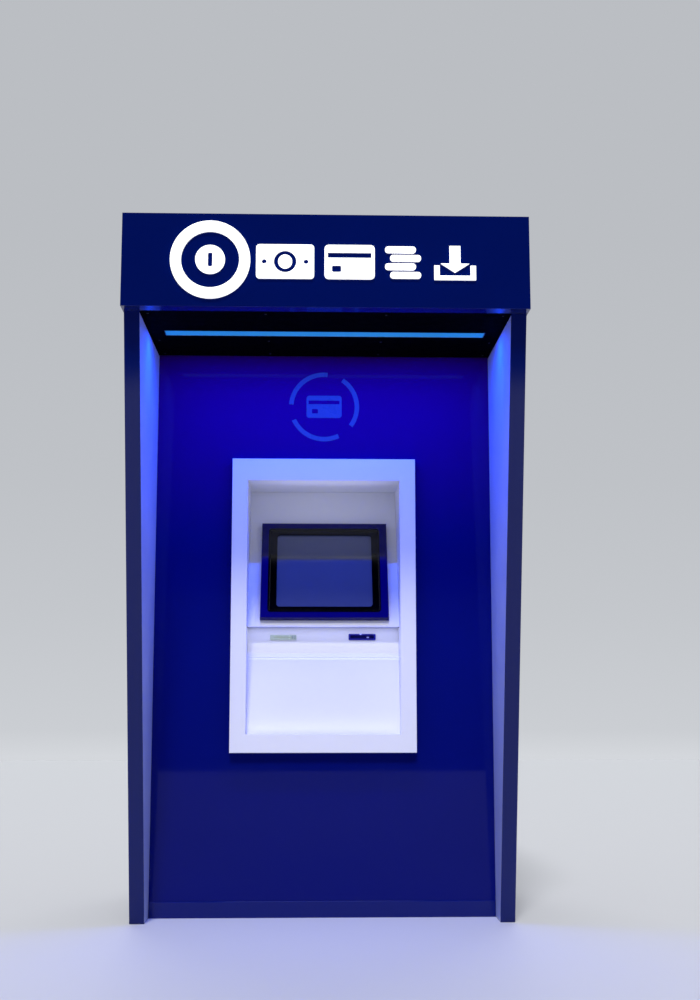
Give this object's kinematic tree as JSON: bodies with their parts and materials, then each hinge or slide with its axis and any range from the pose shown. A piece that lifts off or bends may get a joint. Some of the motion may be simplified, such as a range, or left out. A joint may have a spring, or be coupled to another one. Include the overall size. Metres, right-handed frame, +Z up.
{
  "type": "atm machine",
  "caption": "Free-standing cash machine: canopied surround with lit header, touch-screen niche, card and note slots, rear service door and safe.",
  "frame": {"origin": "middle of the footprint's bounding box, on the floor", "axes": "+Z up, the user stands on the -Y side, +X to the user's right"},
  "size_m": [1.269, 1.273, 2.226],
  "materials": {
    "navy": "navy powder coat, semi-gloss",
    "navy_header": "aluminium sheet with a navy coat, semi-gloss",
    "panel_blue": "glossy deep blue acrylic facing",
    "white_liner": "white laminate, semi-gloss",
    "fascia_white": "satin white moulding",
    "soffit_black": "gloss black facing",
    "aluminium": "satin anodised",
    "light_opal": "opal diffuser, lit blue",
    "sign_white": "opal white acrylic, lit",
    "steel_grey": "grey powder coat",
    "safe_grey": "textured grey enamel",
    "zinc": "zinc plated",
    "steel": "ground steel",
    "bezel_navy": "navy moulding, satin",
    "bezel_black": "black moulding",
    "screen": "dark touch glass",
    "plastic_black": "black moulding",
    "slot_green": "pale green translucent moulding",
    "rubber": "rubber tyres",
    "cassette_grey": "grey moulding",
    "plastic_grey": "grey case; stands for a light sheet case full of boards",
    "chrome": "polished"
  },
  "bodies": {
    "housing": {"back_panel": "panel_blue", "base_cross_rails": "steel_grey", "base_side_rails": "steel_grey", "card_reader": "plastic_black", "card_slot_bezel": "slot_green", "cash_cassette_1": "cassette_grey", "cash_cassette_2": "cassette_grey", "cash_cassette_3": "cassette_grey", "cash_cassette_4": "cassette_grey", "console_panel": "fascia_white", "dispenser_chassis": "zinc", "emblem_ring": "sign_white", "fascia_frame": "fascia_white", "feed_motor": "plastic_black", "header_frame": "steel_grey", "header_shell": "navy_header", "kick_plate": "navy", "led_diffuser": "light_opal", "led_profile": "aluminium", "left_fin_liner": "white_liner", "left_side_shell": "navy", "levelling_feet": "zinc", "lower_panel": "fascia_white", "module_shelf": "zinc", "monitor_bracket": "zinc", "monitor_housing": "plastic_black", "monitor_surround": "bezel_navy", "monitor_wall": "fascia_white", "niche_liner": "fascia_white", "note_slot_bezel": "bezel_navy", "note_transport": "zinc", "panel_rails": "zinc", "pc_core": "plastic_black", "power_inlet": "plastic_black", "power_supply": "plastic_grey", "reject_bin": "cassette_grey", "right_fin_liner": "white_liner", "right_side_shell": "navy", "roof_panel": "navy", "safe_body": "safe_grey", "safe_hinges": "steel", "screen_bezel": "bezel_black", "service_hinges": "zinc", "soffit_panel": "soffit_black", "touch_glass": "screen", "upper_cabinet": "steel_grey"},
    "service_door": {"service_door": "steel_grey", "fan_frame": "plastic_black"},
    "fan_rotor": {"fan_rotor": "plastic_black"},
    "door_latch": {"door_latch": "plastic_black"},
    "safe_door": {"safe_door": "safe_grey", "lock_case": "zinc"},
    "bolt_carriage": {"bolt_carriage": "steel"},
    "safe_handle": {"safe_handle": "chrome"},
    "lock_dial": {"lock_dial": "chrome"},
    "note_shutter": {"note_shutter": "steel"},
    "card_gate": {"card_gate": "steel"},
    "drive_roller": {"drive_roller": "rubber"},
    "idler_roller": {"idler_roller": "rubber"},
    "motor_pinion": {"motor_pinion": "steel"}
  },
  "joints": [
    {"name": "service_door_hinge", "type": "hinge", "parent": "housing", "child": "service_door", "pos_m": [0.304, 0.5788, 1.096], "axis": [0, 0, -1], "range_deg": [0, 110]},
    {"name": "door_latch_turn", "type": "hinge", "parent": "service_door", "child": "door_latch", "pos_m": [-0.262, 0.5748, 1.1], "axis": [0, 1, 0], "range_deg": [0, 90]},
    {"name": "fan_spin", "type": "hinge", "parent": "service_door", "child": "fan_rotor", "pos_m": [-0.11, 0.5628, 1.44], "axis": [0, 1, 0], "continuous": true},
    {"name": "safe_door_hinge", "type": "hinge", "parent": "housing", "child": "safe_door", "pos_m": [0.258, 0.5728, 0.327], "axis": [0, 0, -1], "range_deg": [0, 100]},
    {"name": "safe_handle_turn", "type": "hinge", "parent": "safe_door", "child": "safe_handle", "pos_m": [-0.06, 0.5688, 0.25], "axis": [0, -1, 0], "range_deg": [0, 90]},
    {"name": "bolt_slide", "type": "slide", "parent": "safe_door", "child": "bolt_carriage", "axis": [-1, 0, 0], "range_m": [0, 0.02514]},
    {"name": "lock_dial_turn", "type": "hinge", "parent": "safe_door", "child": "lock_dial", "pos_m": [-0.06, 0.5688, 0.43], "axis": [0, 1, 0], "continuous": true},
    {"name": "note_shutter_slide", "type": "slide", "parent": "housing", "child": "note_shutter", "axis": [0, 0.2228, 0.9749], "range_m": [0, 0.014]},
    {"name": "card_gate_slide", "type": "slide", "parent": "housing", "child": "card_gate", "axis": [0, 0.2228, 0.9749], "range_m": [0, 0.005]},
    {"name": "drive_roller_spin", "type": "hinge", "parent": "housing", "child": "drive_roller", "pos_m": [0.1365, 0.2018, 0.74], "axis": [1, 0, 0], "continuous": true},
    {"name": "idler_roller_spin", "type": "hinge", "parent": "housing", "child": "idler_roller", "pos_m": [0.1365, 0.1712, 0.74], "axis": [1, 0, 0], "continuous": true},
    {"name": "motor_pinion_spin", "type": "hinge", "parent": "housing", "child": "motor_pinion", "pos_m": [0.1915, 0.2348, 0.74], "axis": [1, 0, 0], "continuous": true}
  ],
  "couplings": [
    {"joint": "bolt_slide", "follows": "safe_handle_turn", "m_per_rad": 0.016},
    {"joint": "idler_roller_spin", "follows": "drive_roller_spin", "ratio": -1},
    {"joint": "motor_pinion_spin", "follows": "drive_roller_spin", "ratio": -2.1429}
  ]
}
